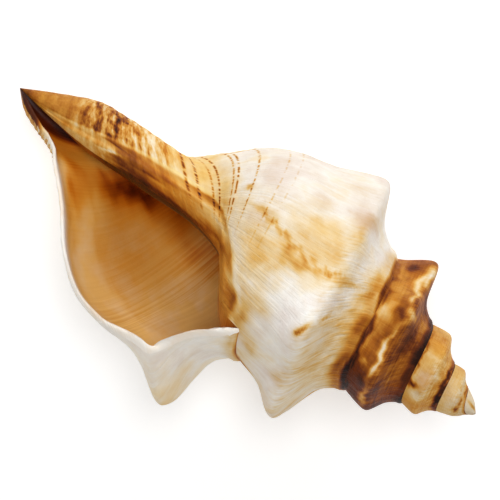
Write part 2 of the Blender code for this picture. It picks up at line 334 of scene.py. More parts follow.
def outer_points(turns, stations):
    """A sheet of the outer surface, one row to a turn, with growth line and station of each point."""
    turn, station = np.meshgrid(np.asarray(turns, float), np.asarray(stations, float), indexing="ij")
    turn = lip_turn(turn, station)
    growth = np.stack([growth_line(turn, station), station], axis=-1)
    return place(turn, outer_rows(turn, station)), turn, growth


print("an old rim's fold every", round(360 / FOLDS[0][0], 1), "degrees")

# %% [markdown]
# ## Rolling up a sheet
# A grid primitive is the right start: it has rows and columns already, and a UV map. Each of its points
# goes to where the law says. The UV map, named growth, then holds turn and station at every corner,
# where the seam's two sides can differ although they share their points.

# %% Cuts of the sheets
STEPS_PER_TURN = 240
BY_SEAM = [0, 0.12]
RAMP = np.linspace(0.25, 2.4, 13)
KNOBBED = np.linspace(2.52, 4.0, 15)
SIDE = np.linspace(4.2, 6, 10)
BASE = np.linspace(6.12, 12.9, 64)
CANAL_END = np.linspace(13.1, 14.5, 8)
WHORL_CUTS = np.concatenate([BY_SEAM, RAMP, KNOBBED, SIDE])
MOUTH_CUTS = np.concatenate([BASE, CANAL_END, [TIP]])
print(len(WHORL_CUTS), "cuts from the seam to the next seam, and", len(MOUTH_CUTS), "on to the tip")


# %% A grid primitive, rolled up
def deselect():
    if bpy.context.object and bpy.context.object.mode != "OBJECT":
        bpy.ops.object.mode_set(mode="OBJECT")
    bpy.ops.object.select_all(action="DESELECT")


def roll_up(name, points, growth, finish):
    """A grid primitive whose points are moved onto an array of places."""
    rows, columns = points.shape[0], points.shape[1]
    deselect()
    bpy.ops.mesh.primitive_grid_add(x_subdivisions=columns - 1, y_subdivisions=rows - 1, size=1)
    sheet = bpy.context.object
    sheet.name = name
    sheet.data.vertices.foreach_set("co", (points * MM).reshape(-1))
    corners = np.empty(len(sheet.data.loops), dtype=np.int32)
    sheet.data.loops.foreach_get("vertex_index", corners)
    layer = sheet.data.uv_layers[0]
    layer.name = "growth"
    layer.uv.foreach_set("vector", growth.reshape(-1, 2)[corners].astype(np.float32).reshape(-1))
    sheet.data.materials.append(finish)
    print(name, rows, "by", columns, "points")
    return sheet


def turns_between(first, last):
    """Turns counted back from the last in even steps, so that seams meet point to point."""
    count = math.ceil((last - first) * STEPS_PER_TURN - 1e-6)
    return np.maximum(last - np.arange(count, -1, -1) / STEPS_PER_TURN, first)


# %% [markdown]
# ## The outside
# The last turn runs all the way from the seam to the end of the canal. Older turns are covered by the
# next one past station 6, so the spire needs only that part.

# %% Outside of the last turn and of the spire
ALL_CUTS = np.concatenate([WHORL_CUTS, MOUTH_CUTS])
lime = bpy.data.materials.new("weathered lime")
points, _, growth = outer_points(turns_between(LIP_TURN - 1, LIP_TURN), ALL_CUTS)
last_turn = roll_up("last_turn", points, growth, lime)
points, _, growth = outer_points(turns_between(FIRST_TURN, LIP_TURN - 1), WHORL_CUTS)
spire = roll_up("spire", points, growth, lime)

# %% [markdown]
# ## The hollow
# Inside, each turn's wall is one surface and the back of the turn before it is the other, so the hollow
# is a stack of closed loops that wind down into the spire. It starts at the lip, whose edge is rounded
# over by five short loops.

# %% Wall and steps of the hollow
WALL, LIP_WALL, WALL_BLEND = 2.7, 1.3, 0.2
CANAL_WALL, CANAL_WALL_OVER, THICKEST = 0.7, 4.0, 0.35
HOLLOW_START, HOLLOW_END = 0.9, -1.6
CURVE_POINTS, CORE_POINTS, NECK_OVERLAP = 300, 120, 0.5
LIP_ROUND, JUST_INSIDE, JUST_BEFORE = 0.006, 0.0001, 0.004  # in turns
RIM_ANGLES = np.radians([30, 60, 90, 120, 150])
HOLLOW_STEPS = ((0.16, 0.011), (0.75, 1 / 90), (9.0, 1 / 36))  # depth reached, and step, in turns


# %% One loop of the hollow
def read_off(at, x, y):
    """y where x is at, whichever way round the curve runs."""
    order = np.argsort(x)
    return np.interp(at, x[order], y[order])


def inside_curve(turn, fine):
    """The inside of the wall at these stations: the outer surface, moved in by its thickness."""
    turns = lip_turn(turn, fine)
    skin = section(turns, fine)
    slope = np.gradient(skin, axis=0)
    inward = np.stack([slope[:, 1], -slope[:, 0]], axis=1) / np.linalg.norm(slope, axis=1)[:, None]
    inside = smooth((LIP_TURN - turn) / WALL_BLEND)
    thick = LIP_WALL + (WALL * size_at(turn) - LIP_WALL) * inside
    thick = thick * (1 - (1 - CANAL_WALL) * smooth((fine - NEXT_SEAM) / CANAL_WALL_OVER))
    return skin + inward * np.minimum(thick, THICKEST * skin[:, 1])[:, None], turns


def hollow_loop(turn):
    """One loop: out along the inside of the wall, then back along the older turn."""
    fine = np.linspace(HOLLOW_START, TIP, CURVE_POINTS)
    curve, turns = inside_curve(turn, fine)
    along = ALL_CUTS[1:]
    in_body = along < NECK
    body = along[in_body]
    at = HOLLOW_START + (body - body[0]) / (body[-1] - body[0]) * (NECK - HOLLOW_START)
    rows = np.stack([np.interp(at, fine, curve[:, i]) for i in (0, 1)], axis=1)

    # Past the neck the hollow narrows to the point where the older turn's canal ended.
    core = section(turn - 1, np.linspace(NEXT_SEAM, TIP, CORE_POINTS))
    share = (along[~in_body] - body[-1]) / (TIP - body[-1])
    d = rows[-1, 0] + (core[-1, 0] - rows[-1, 0]) * share
    canal = fine > NECK - NECK_OVERLAP
    r_core = read_off(d, core[:, 0], core[:, 1])
    gap = np.maximum(read_off(d, curve[canal, 0], curve[canal, 1]) - r_core, 0.0)
    tail = np.stack([d, r_core + gap * np.sqrt(1 - share**3)], axis=1)
    tail[-1] = core[-1]

    older = section(turn - 1, MOUTH_CUTS)
    tail_turns = read_off(d, curve[canal, 0], turns[canal])
    rows = np.concatenate([older[:1], rows, tail, older[-2:0:-1]])
    ends = ([turn], np.interp(at, fine, turns), tail_turns, np.full(len(older) - 2, turn))
    turns = np.concatenate(ends)
    return place(turns, rows), turns


# %% The rounded edge of the lip
def mouth_edge(turn):
    """The rim of the wall at this turn, then the older turn's side of the mouth."""
    rim, rim_turn, _ = outer_points([turn], ALL_CUTS)
    back = outer_points([turn - 1], MOUTH_CUTS)[0][0][-2:0:-1]
    turns = np.concatenate([rim_turn[0], np.full(len(back), turn)])
    return np.concatenate([rim[0], back]), turns


def rim_loops(edge, inner, outer_before):
    """Loops that round the edge of the lip over, from its outside to its inside."""
    wall = len(ALL_CUTS)
    onward = edge[:wall] - outer_before[:wall]
    onward /= np.linalg.norm(onward, axis=1)[:, None] + 1e-9
    middle, half = (edge[:wall] + inner[:wall]) / 2, (edge[:wall] - inner[:wall]) / 2
    high = np.linalg.norm(half, axis=1)[:, None]
    loops = []
    for k, angle in enumerate(RIM_ANGLES):
        share = (k + 1) / (len(RIM_ANGLES) + 1)
        loop = edge + (inner - edge) * share
        loop[:wall] = middle + half * math.cos(angle) + onward * high * math.sin(angle)
        loops.append(loop)
    return loops


# %% All the loops, rolled up
def hollow_sheet():
    """The loops of the hollow, each closed on its own first point."""
    depths = [LIP_ROUND]
    for reach, step in HOLLOW_STEPS:
        while depths[-1] < min(reach, LIP_TURN - HOLLOW_END):
            depths.append(depths[-1] + step)
    edge, edge_turns = mouth_edge(LIP_TURN)
    first = hollow_loop(LIP_TURN - JUST_INSIDE)[0]
    before = mouth_edge(LIP_TURN - JUST_BEFORE)[0]
    loops = [edge] + rim_loops(edge, first, before)
    turns = [edge_turns] * len(loops)
    for depth in depths:
        points, loop_turns = hollow_loop(LIP_TURN - depth)
        loops.append(points)
        turns.append(loop_turns)
    stations = np.concatenate([ALL_CUTS, 2 * TIP - MOUTH_CUTS[-2:0:-1]])
    loops, turns = np.array(loops), np.array(turns)
    stations = np.broadcast_to(stations, turns.shape)
    growth = np.stack([growth_line(turns, stations), stations], axis=-1)
    close = lambda values: np.concatenate([values, values[:, :1]], axis=1)
    growth = close(growth)
    growth[:, -1, 1] = 2 * TIP - MOUTH_CUTS[0]
    return close(loops), growth


porcelain = bpy.data.materials.new("mouth porcelain")
hollow = roll_up("hollow", *hollow_sheet(), porcelain)

# %% [markdown]
# ## One skin, laid down to rest
# The three sheets share their edges point by point, so joined and merged they close into one skin. The
# shell lies on its back, where two of its knobs and its side are worn flat.

# %% How the shell lies
REST_ROLL, TIP_UP = -7.62, -10.05
LIES_AT = (73.10, 6.09, 45.65)
CREASE = math.radians(55)
APEX_GRAIN, SAME_POINT = 0.12, 0.002  # in millimetres


# %% Close the skin, and lay it down
def close_skin(sheets):
    deselect()
    for sheet in sheets:
        sheet.select_set(True)
    conch = sheets[0]
    bpy.context.view_layer.objects.active = conch
    bpy.ops.object.join()
    conch.name = conch.data.name = "conch"
    bpy.ops.object.mode_set(mode="EDIT")
    bpy.ops.mesh.select_all(action="SELECT")
    bpy.ops.mesh.remove_doubles(threshold=SAME_POINT * MM)
    bpy.ops.mesh.select_all(action="DESELECT")
    bpy.ops.object.mode_set(mode="OBJECT")
    apex = Vector((-APEX * MM, 0, 0))
    for vert in conch.data.vertices:
        vert.select = (vert.co - apex).length < APEX_GRAIN * MM
    bpy.ops.object.mode_set(mode="EDIT")
    bpy.ops.mesh.merge(type="CENTER")
    bpy.ops.mesh.select_all(action="SELECT")
    bpy.ops.mesh.fill_holes(sides=0)
    bpy.ops.mesh.normals_make_consistent(inside=False)
    bpy.ops.object.mode_set(mode="OBJECT")
    return conch


def lay_down(conch):
    down = Matrix.Rotation(math.radians(TIP_UP), 4, "Y") @ Matrix.Rotation(math.radians(REST_ROLL), 4, "X")
    conch.data.transform(Matrix.Translation(Vector(LIES_AT) * MM) @ down)
    bpy.ops.object.mode_set(mode="EDIT")
    bpy.ops.mesh.select_all(action="SELECT")
    level = {"plane_co": (0, 0, 0), "plane_no": (0, 0, 1), "threshold": 1e-6}
    bpy.ops.mesh.bisect(**level, use_fill=True, clear_inner=True)
    bpy.ops.mesh.select_all(action="SELECT")
    bpy.ops.mesh.normals_make_consistent(inside=False)
    bpy.ops.object.mode_set(mode="OBJECT")
    bpy.ops.object.shade_smooth_by_angle(angle=CREASE)
    return down.to_3x3()


conch = close_skin([last_turn, spire, hollow])
laid = lay_down(conch)
edges = np.bincount(np.unique([loop.edge_index for loop in conch.data.loops], return_counts=True)[1])
print("edges by how many faces share them:", edges)
print(sum(len(face.vertices) - 2 for face in conch.data.polygons), "triangles")

# %% [markdown]
# ## Where the colour lies
# The snail's mantle stains the lime as it is laid down, so every mark keeps to a growth line or to a
# station: brown beside the seam, cream on the knobs, streaks along old rims. Painting an image would
# need a flat unwrapping of a spiral. Here each mark is one line of numbers: growth line, station, half
# its width in both, and how much it darkens (or lightens) the lime. Waves bend them out of round.

# %% Stain along the growth, beside the seam and down the canal
AGES = (-5.1, -4.45, -4.1, -3.0, -2.35, -2.05, -1.5, -1.35, -1.05, -0.9, -0.5, 0.12)
AGE_STAINS = (0.30, 0.28, 0.34, 0.44, 0.48, 0.77, 0.78, 0.68, 0.28, 0.23, 0.15, 0.10)
SEAM_AMBER = (1.35, 0.55, 0.40)  # stations where it begins and is full, and how much
# The dark line in the seam, and the least of it on younger seams, is painted shadow of the seam's groove.
SEAM_SHADOW = (0.34, 0.06, 0.50)
SEAM_LEAST = 0.8
SEAM_AGES = (-4.2, -3.9, -2.1, -1.9, -0.9, -0.80, -0.72, -0.60, -0.54, -0.50, -0.30, 0.12)
SEAM_SHARES = (0.0, 0.5, 0.5, 0.25, 0.9, 0.85, 0.65, 0.5, 0.45, 0.15, 0.4, 0.6)
GLAZE_AHEAD, GLAZE_STAIN = 0.045, 0.60  # the stain reaches further than the thickness does
CANAL_STATIONS = (9.0, 10.2, 11.4, 12.3, 13.4, 14.2, 15.0)
CANAL_STAINS = (0.0, 0.12, 0.22, 0.40, 0.42, 0.44, 0.52)

# %% The marks of the outside
MARKS = (
    (-0.50, 1.5, 0.05, 1.6, -0.10),  # the white lobe behind the lip
    (-0.64, 0.9, 0.025, 0.45, 0.20),  # amber by the seam
    (-0.68, 1.1, 0.012, 0.6, 0.22),
    (-0.84, 0.9, 0.05, 0.5, 0.20),
    (-0.742, 0.85, 0.045, 0.8, 0.28),
    (-0.70, 1.2, 0.018, 0.5, 0.10),
    (-0.57, 3.35, 0.018, 0.6, 0.14),  # painted shade beside the top knob
    (-0.79, 6.05, 0.02, 0.35, 0.26),  # brown beside the end of the lip
    (-0.83, 5.6, 0.03, 0.22, 0.20),
    (-0.80, 2.2, 0.09, 0.9, 0.12),  # beige on the ramp of the last turn
    (-0.716, 2.75, 0.006, 0.22, 0.22),
    (-0.66, 2.6, 0.006, 1.1, 0.13),
    (-0.59, 3.0, 0.02, 0.35, 0.18),
    (-0.725, 4.3, 0.045, 1.2, -0.20),  # the front knob, white with a brown spot; its white is partly a painted highlight
    (-0.726, 3.65, 0.009, 0.34, 0.66),
    (-0.66, 5.1, 0.007, 0.8, 0.22),  # ochre streaks under the shoulder
    (-0.625, 5.3, 0.014, 0.5, 0.16),
    (-0.655, 4.0, 0.006, 2.0, 0.14),
    (-0.60, 4.6, 0.035, 1.0, 0.08),
    (-0.69, 7.4, 0.05, 0.9, 0.16),
    (-0.585, 5.4, 0.010, 0.3, 0.16),
    (-0.68, 5.9, 0.06, 0.25, 0.12),
    (-0.63, 6.9, 0.018, 0.3, 0.14),
    (-0.618, 7.8, 0.006, 0.7, 0.16),
    (-0.68, 6.7, 0.03, 0.6, 0.12),
    (-0.845, 3.8, 0.012, 0.5, 0.12),
    (-0.66, 2.0, 0.035, 0.8, 0.12),
    # more painted shade beside the top knob
    (-0.548, 3.1, 0.014, 0.6, 0.12),
    (-0.743, 5.9, 0.016, 0.5, 0.12),
    (-0.865, 4.2, 0.02, 0.6, -0.08),
    (-0.897, 5.85, 0.014, 0.35, 0.5),
    (0.06, 2.9, 0.05, 1.0, 0.12),
    (-0.62, 3.9, 0.03, 0.5, 0.10),
    (-0.70, 5.6, 0.05, 0.5, 0.10),
    (-0.57, 8.4, 0.006, 0.12, 0.4),
    (-0.62, 9.4, 0.04, 0.6, 0.16),  # orange ground of the neck
    (-0.50, 9.6, 0.10, 0.5, 0.08),
    (-0.65, 12.3, 0.06, 0.16, 0.26),  # brown band down the canal
    (-0.53, 12.3, 0.05, 0.16, 0.22),
    (-0.78, 6.7, 0.03, 0.9, 0.22),  # under the glaze
    (-0.72, 11.9, 0.08, 0.30, 0.18),
    (-0.79, 11.6, 0.03, 0.9, 0.26),
    (-0.715, 12.45, 0.02, 0.15, -0.40),
    (-0.655, 10.4, 0.02, 0.5, -0.14),
    (-0.605, 10.75, 0.025, 0.35, -0.22),
    (-0.715, 11.45, 0.015, 0.25, 0.16),
    (-0.740, 9.2, 0.012, 1.2, 0.20),
    # painted shadow of the fold, on the outside just under its edge
    (-0.80, 10.6, 0.035, 1.0, 0.18),
    (-0.76, 10.35, 0.03, 0.25, 0.13),
    (-0.76, 12.2, 0.03, 0.3, 0.10),
    (-0.72, 11.57, 0.03, 0.2, 0.10),
    (-0.758, 6.4, 0.018, 0.7, 0.08),
    (-0.692, 9.0, 0.014, 0.7, -0.14),
    (-0.75, 7.4, 0.012, 0.5, -0.26),
    (-0.675, 11.3, 0.02, 0.35, 0.14),
    (-0.72, 13.7, 0.05, 0.5, 0.16),
    (-0.68, 9.7, 0.03, 0.6, -0.25),
    (-1.60, 1.5, 0.045, 1.5, -0.20),  # the brown turn: a lighter ramp, and a cream keel in patches
    (-1.65, 1.0, 0.10, 0.35, -0.10),
    (-1.79, 0.5, 0.05, 0.35, 0.15),
    (-1.525, 3.75, 0.045, 0.30, -0.44),
    (-1.488, 3.2, 0.024, 0.6, -0.60),
    (-1.575, 3.8, 0.016, 0.25, -0.28),
    (-1.61, 3.2, 0.013, 0.5, -0.42),
    (-1.612, 3.9, 0.012, 0.35, 0.25),
    (-1.70, 3.85, 0.055, 0.22, -0.50),
    (-1.735, 3.6, 0.008, 0.4, -0.22),
    (-1.78, 4.2, 0.03, 0.4, 0.18),
    (-1.845, 3.75, 0.045, 0.35, -0.36),
    (-1.475, 4.8, 0.012, 0.4, 0.30),
    (-1.50, 5.3, 0.05, 0.9, -0.16),
    (-1.53, 5.6, 0.010, 0.5, 0.15),
    (-1.56, 5.0, 0.03, 0.8, -0.12),
    (-1.615, 5.2, 0.03, 0.9, -0.32),
    (-1.70, 5.4, 0.03, 0.3, -0.15),
    (-1.742, 5.0, 0.007, 0.5, -0.25),
    (-1.82, 5.0, 0.06, 0.9, 0.10),
    (-1.86, 5.8, 0.03, 0.35, 0.20),
    (-1.866, 4.7, 0.03, 0.5, 0.10),
    (-1.70, 5.9, 0.08, 0.25, 0.12),
    (-1.80, 3.0, 0.05, 0.5, 0.14),
    (-1.66, 5.9, 0.20, 0.16, 0.16),
    (-1.63, 4.4, 0.05, 0.25, 0.10),
    (-2.72, 1.6, 0.06, 0.7, 0.16),  # the golden turn: brown by its seam, and one dark spot
    (-2.80, 0.7, 0.12, 0.5, 0.40),
    (-2.66, 0.7, 0.05, 0.3, 0.35),
    (-2.50, 4.0, 0.04, 0.8, 0.10),
    (-2.735, 5.3, 0.014, 0.9, 0.50),
    (-2.60, 4.6, 0.016, 1.6, -0.12),
    (-2.68, 3.4, 0.014, 1.5, -0.10),
    (-2.78, 4.0, 0.02, 1.2, -0.14),
    (-2.62, 5.9, 0.12, 0.2, 0.28),
    (-3.62, 1.0, 0.04, 0.35, 0.25),  # a slanting band on the small turn
    (-3.72, 1.7, 0.04, 0.45, 0.40),
    (-3.79, 2.6, 0.035, 0.6, 0.46),
    (-4.60, 3.0, 0.03, 3.0, 0.30),
)

# %% A thin line, and where the lime is tinged
SCRIBBLE = ((2.9, 4.3, 5.6, 6.3, 7.0, 7.7), (-0.647, -0.650, -0.645, -0.636, -0.630, -0.617))
SCRIBBLE_WIDTH, SCRIBBLE_STAIN = 0.0040, 0.20
SCRIBBLE_FROM, SCRIBBLE_TO = (2.6, 3.4), (8.0, 7.2)
SCRIBBLE_WAVES = ((0.003, 0, 9, 0), (0.002, 0, 23, 0))
GROWTH_WAVES = ((0.004, 61, 2.1, 0), (0.0025, -140, 5.3, 0))
STATION_WAVES = ((0.16, 75, 1.3, 0), (0.08, 190, 2.0, 0))
STAIN_LIMITS = (0.02, 0.97)
TINGES = (
    (-0.60, 5.0, 0.03, 1.2, 0.75),  # where the last turn is tinged yellow
    (-0.66, 6.6, 0.03, 1.0, 0.45),
    (-0.71, 6.6, 0.04, 1.4, 0.55),
    (-0.655, 3.2, 0.02, 0.9, 0.6),
    (-0.80, 2.2, 0.10, 1.0, 0.4),
    (0.05, 2.8, 0.06, 1.2, 0.35),
    (-0.56, 3.2, 0.025, 0.7, -0.6),  # painted grey shade beside the top knob
    (-2.70, 3.9, 0.07, 1.1, -1.3),  # a grey patch on the golden turn
    (-2.55, 4.4, 0.05, 1.4, 0.5),
)

# %% Marks on the sides that the photo hides
UNSEEN = 34
GOLDEN, RISE, SPREAD = 0.618, 0.17, 0.39  # even steps that never fall into rows
HIDDEN = ((-0.42, 0.34), (-0.95, -0.42))  # hidden growth, as start and span, for every other mark
UNSEEN_WIDE, UNSEEN_HIGH, UNSEEN_AT = (0.008, 0.014), (0.3, 0.9), (0.8, 8.0)  # least, and how much more
UNSEEN_STAIN = 0.10


def unseen_marks():
    """Marks of the same kinds, spread by even steps over the hidden growth."""
    made = []
    for k in range(UNSEEN):
        share, size, rise = (k * GOLDEN) % 1.0, (k * RISE) % 1.0, (k * SPREAD) % 1.0
        ranges = (HIDDEN[0] if k % 2 else HIDDEN[1], UNSEEN_AT, UNSEEN_WIDE, UNSEEN_HIGH)
        steps = (share, rise, share, size)
        mark = tuple(least + more * step for (least, more), step in zip(ranges, steps))
        made.append(mark + (UNSEEN_STAIN * (1 + k % 3),))
    return made


print(len(MARKS), "marks in view and", len(unseen_marks()), "on the hidden sides")


# %% How a mark is laid
def held(stain):
    """Kept inside the colour ramp."""
    return np.clip(stain, *STAIN_LIMITS)


def bent(growth, station):
    """Growth line and station shifted a little by waves, so that no mark is a neat oval."""
    return growth + waves(GROWTH_WAVES, growth, station), station + waves(STATION_WAVES, growth, station)


def scribble(growth, station):
    """A thin ochre line that follows one old rim of the last turn from the shoulder to the neck."""
    off = growth + waves(SCRIBBLE_WAVES, growth, station) - np.interp(station, *SCRIBBLE)
    along = from_to(station, *SCRIBBLE_FROM) * from_to(station, *SCRIBBLE_TO)
    return SCRIBBLE_STAIN * along * np.exp(-((off / SCRIBBLE_WIDTH) ** 2))


def add_marks(stain, growth, station, marks):
    g, s = bent(growth, station)
    for at, where, wide, high, amount in marks:
        stain = stain + amount * np.exp(-(((g - at) / wide) ** 2) - ((s - where) / high) ** 2)
    return stain


# %% The six values of the outside
GLAZE_COVER = 0.9
EDGE_HIGHLIGHT, EDGE_WARM = 0.22, 0.5  # a painted highlight along the glaze's edge: how much paler, and how much warmer
SEAM_WAVES = ((0.14, 23, 0, 0), (0.07, 61, 0, 1.0))
SEAM_LEAST_FROM = -1.1  # younger seams carry at least so much painted shadow in the seam
OLD = (-1.0, -1.35)  # growth over which the shell turns old
GOLD, BEFORE_GOLD, GOLD_CALM = (-2.0, -2.3), (-3.4, -3.1), (-2.1, -2.4)
NECK_PART, CANAL_PART = (8.6, 9.4), (11.6, 12.4)  # stations
WHORL_PART, WHORL_END = (1.5, 3.5), 8.0
SCALY, SCALY_END = (10.4, 11.2), (13.6, 13.0)
LINED, LINED_FROM, LINED_TO = (-0.58, -0.66), (0.8, 1.8), (4.2, 3.2)
ROUND_FROM = (9.4, 11.0)
GOLD_WARM, NECK_WARM, CANAL_COOL, WHORL_COOL = 0.4, 0.6, 0.8, 0.15
PLAIN_STREAKS, LINED_STREAKS, SCALY_STREAKS = 0.06, 0.09, 0.22
OLD_RUNS, BLOTS, OLD_BLOTS, GOLD_BLOTS = 0.4, 0.55, 0.45, 0.2


def seam_stain(growth, station):
    """Amber beside the seam, and painted shadow as a dark line in its groove, with a wavy edge."""
    waved = station + waves(SEAM_WAVES, growth, station)
    by_seam = np.interp(growth, SEAM_AGES, SEAM_SHARES)
    in_seam = np.maximum(by_seam, SEAM_LEAST * (growth > SEAM_LEAST_FROM))
    amber, dark = SEAM_AMBER, SEAM_SHADOW
    stain = by_seam * amber[2] * from_to(waved, *amber[:2])
    return stain + in_seam * dark[2] * from_to(waved, *dark[:2])


def outside_finish(growth, station):
    """Stain, warmth, streaks, glaze, how far the streaks run round the shell, and blots."""
    turn = growth - LEAN * smooth(station / LEAN_OVER)
    stain = np.interp(growth, AGES, AGE_STAINS) + seam_stain(growth, station)
    stain += np.interp(station, CANAL_STATIONS, CANAL_STAINS)
    under = glazed(turn - GLAZE_AHEAD, station)
    # A painted highlight runs along the edge of the glaze.
    edge = 4 * under * (1 - under)
    stain += (GLAZE_STAIN - stain) * under * GLAZE_COVER
    stain = add_marks(stain, growth, station, MARKS + tuple(unseen_marks()))
    stain += scribble(growth, station) - EDGE_HIGHLIGHT * edge
    age, gold = from_to(growth, *OLD), from_to(growth, *GOLD)
    whorl = (1 - age) * from_to(station, *WHORL_PART) * (station < WHORL_END)
    warmth = GOLD_WARM * gold * from_to(growth, *BEFORE_GOLD) + EDGE_WARM * edge
    warmth += NECK_WARM * from_to(station, *NECK_PART) - CANAL_COOL * from_to(station, *CANAL_PART)
    warmth = add_marks(warmth - WHORL_COOL * whorl, growth, station, TINGES)
    scaly = from_to(station, *SCALY) * from_to(station, *SCALY_END) * (1 - under)
    lined = from_to(growth, *LINED) * from_to(station, *LINED_FROM) * from_to(station, *LINED_TO)
    streaks = PLAIN_STREAKS + LINED_STREAKS * lined + SCALY_STREAKS * scaly
    runs = np.maximum(from_to(station, *ROUND_FROM), OLD_RUNS * age)
    blots = BLOTS + OLD_BLOTS * age - GOLD_BLOTS * from_to(growth, *GOLD_CALM)
    return held(stain), np.clip(warmth, -1, 1), streaks, under, runs, blots


# %% [markdown]
# ## Inside the mouth
# The inside was laid down last and never weathered: polished lime in amber and ochre, cream along the lip.
# Where the older turn meets the wall, the shadow under the fold is painted in as a dark band, and painted
# shade deepens the brown inside the canal to almost black.

# %% Stain of the hollow
# Past station 12.3 the wall's brown is deepened to almost black by painted shade inside the canal.
WALL_STATIONS = (0, 3.4, 4.3, 6.0, 8.5, 9.2, 10.5, 12.3, 13.0)
WALL_STAINS = (0.3, 0.20, 0.25, 0.30, 0.36, 0.46, 0.46, 0.54, 0.92)
BACK_STATIONS = (15.5, 16.3, 16.9, 17.4, 18.2, 19.6, 21.5, 22.6, 24.0)  # the older turn's side; its darkest values are painted shadow under the fold and painted shade in the canal
BACK_STAINS = (0.95, 0.84, 0.72, 0.92, 0.95, 0.92, 0.72, 0.6, 0.78)
HOLLOW_STAINS = (WALL_STATIONS + BACK_STATIONS, WALL_STAINS + BACK_STAINS)
DEEP_SHADE = (0.19, 0.14, 0.26)  # painted shade deeper in the mouth: depth where it starts, over how much, and how much darker
RIM_CREAM = (0.035, 0.40)  # how deep the cream edge of the lip goes, in turns, and how much lighter
CREAM_STATIONS = (13, 11)
RIM_WARMTH, DEEP_WARMTH = 0.15, 0.95
LAST_GROWN, LAST_PALE = (0.004, 0.014), 0.12  # the newest lime, up to one old rim, is paler
LAST_STATIONS = (9.6, 8.8)
LIP_STREAKS = (5.4, 1.1, 0.025, 0.13)  # station, width, and streaks elsewhere and there
HOLLOW_BLOTS = 0.25
HOLLOW_MARKS = (
    (0.048, 9.2, 0.016, 0.5, 0.20),
    (0.066, 8.5, 0.010, 0.4, 0.16),
    (0.055, 7.3, 0.03, 1.0, -0.10),
    # painted shade along the fold, on the upper wall
    (-0.05, 9.4, 0.04, 0.25, 0.10),
    (-0.11, 8.9, 0.035, 0.3, 0.14),
    (-0.15, 7.6, 0.02, 0.6, 0.15),
    (0.09, 9.9, 0.04, 0.8, -0.35),
    (0.025, 10.4, 0.02, 0.5, 0.12),
    (-0.065, 11.3, 0.025, 1.0, -0.06),
    (-0.105, 9.2, 0.06, 0.8, 0.16),  # painted shadow of the fold over the upper part
    (-0.01, 8.9, 0.02, 0.5, -0.10),
    # a painted shadow band just under the fold's edge
    (-0.076, 9.35, 0.014, 0.4, 0.16),
    (-0.10, 9.0, 0.018, 0.3, 0.14),
    (-0.125, 8.65, 0.010, 0.35, 0.12),
    (0.109, 7.3, 0.014, 0.9, 0.20),  # amber behind the lip's far side
    # more painted shadow under the fold
    (-0.125, 6.8, 0.018, 1.6, 0.14),
    (-0.055, 9.75, 0.018, 0.35, 0.20),
    (-0.10, 4.3, 0.06, 0.6, -0.34),  # painted light on the low end by the lip, paler than its shade leaves it
    (-0.065, 3.9, 0.05, 0.35, -0.30),
    (0.0, 5.0, 0.07, 0.5, -0.08),
    (0.035, 7.4, 0.03, 1.2, -0.06),
    (-0.02, 5.6, 0.05, 0.9, -0.07),
)


def hollow_finish(growth, station):
    """The same six values for the hollow."""
    wall = np.minimum(station, 2 * TIP - station)
    rim = growth_line(lip_turn(np.full(wall.shape, LIP_TURN), wall), wall)
    depth = rim - growth
    start, over, darker = DEEP_SHADE
    # Deeper in the mouth the stain rises: painted shade.
    stain = np.interp(station, *HOLLOW_STAINS) + darker * smooth((depth - start) / over)
    reach, lighter = RIM_CREAM
    stain -= lighter * (1 - smooth(depth / reach)) * from_to(station, *CREAM_STATIONS)
    newest = from_to(bent(growth, station)[0], *LAST_GROWN) * from_to(station, *LAST_STATIONS)
    stain = add_marks(stain - LAST_PALE * newest, growth, station, HOLLOW_MARKS)
    warmth = RIM_WARMTH + (DEEP_WARMTH - RIM_WARMTH) * smooth(depth / reach)
    at, wide, plain, strong = LIP_STREAKS
    streaks = plain + strong * np.exp(-(((station - at) / wide) ** 2))
    everywhere = np.ones(growth.shape)
    return held(stain), np.clip(warmth, -1, 1), streaks, everywhere, everywhere, HOLLOW_BLOTS * everywhere


FINISH = ("stain", "warmth", "streaks", "glaze", "runs", "blots")


def write_finish(conch):
    """Each corner keeps its six numbers, so that the two sides of a seam can differ."""
    mesh = conch.data
    corners = np.empty(len(mesh.loops) * 2, dtype=np.float32)
    mesh.uv_layers["growth"].uv.foreach_get("vector", corners)
    growth, station = corners.reshape(-1, 2).astype(float).T
    slots = np.empty(len(mesh.polygons), dtype=np.int32)
    sides = np.empty(len(mesh.polygons), dtype=np.int32)
    mesh.polygons.foreach_get("material_index", slots)
    mesh.polygons.foreach_get("loop_total", sides)
    in_hollow = np.repeat(slots, sides) == mesh.materials.find("mouth porcelain")
    values = np.where(in_hollow, hollow_finish(growth, station), outside_finish(growth, station))
    for name, row in zip(FINISH, values):
        layer = mesh.attributes.new(name, "FLOAT", "CORNER")
        layer.data.foreach_set("value", row.astype(np.float32))
        print(name, "from", round(float(row.min()), 2), "to", round(float(row.max()), 2))


write_finish(conch)

# %% [markdown]
# ## Lime outside, porcelain in the mouth
# Both are lime, but sand and sun have worn the outside, and the mouth was laid down last and stayed
# polished. The colour could be painted on an image, which a spiral has no flat unwrapping for. So the
# stain at each corner is broken up by noise along the growth map, and one colour ramp turns the sum
# into chalk white, cream, amber, ochre and brown. A patch of noise is given in millimetres: so far
# along the turn, and so far along the rim. Past the neck and on the old turns the lines run round the
# shell instead, as the real ones do.

# %% Colours of the stain, and sizes on the growth map
STAIN_RAMP = (
    (0.00, "#FBF8F2"),
    (0.15, "#F1E8DA"),
    (0.30, "#E9D3AC"),
    (0.42, "#E0B66C"),
    (0.55, "#CC8C33"),
    (0.68, "#A65F14"),
    (0.82, "#6D3008"),
    (1.00, "#240A02"),
)
COLD_TINT = "#E8D8D2"
TURN_MM = 240.0  # once round the shoulder of the last turn
STATION_MM = 6.6  # from one station to the next on its side
BLOT_MM, GRAIN_MM, CLOUD_MM = 13.0, 1.1, 9.0


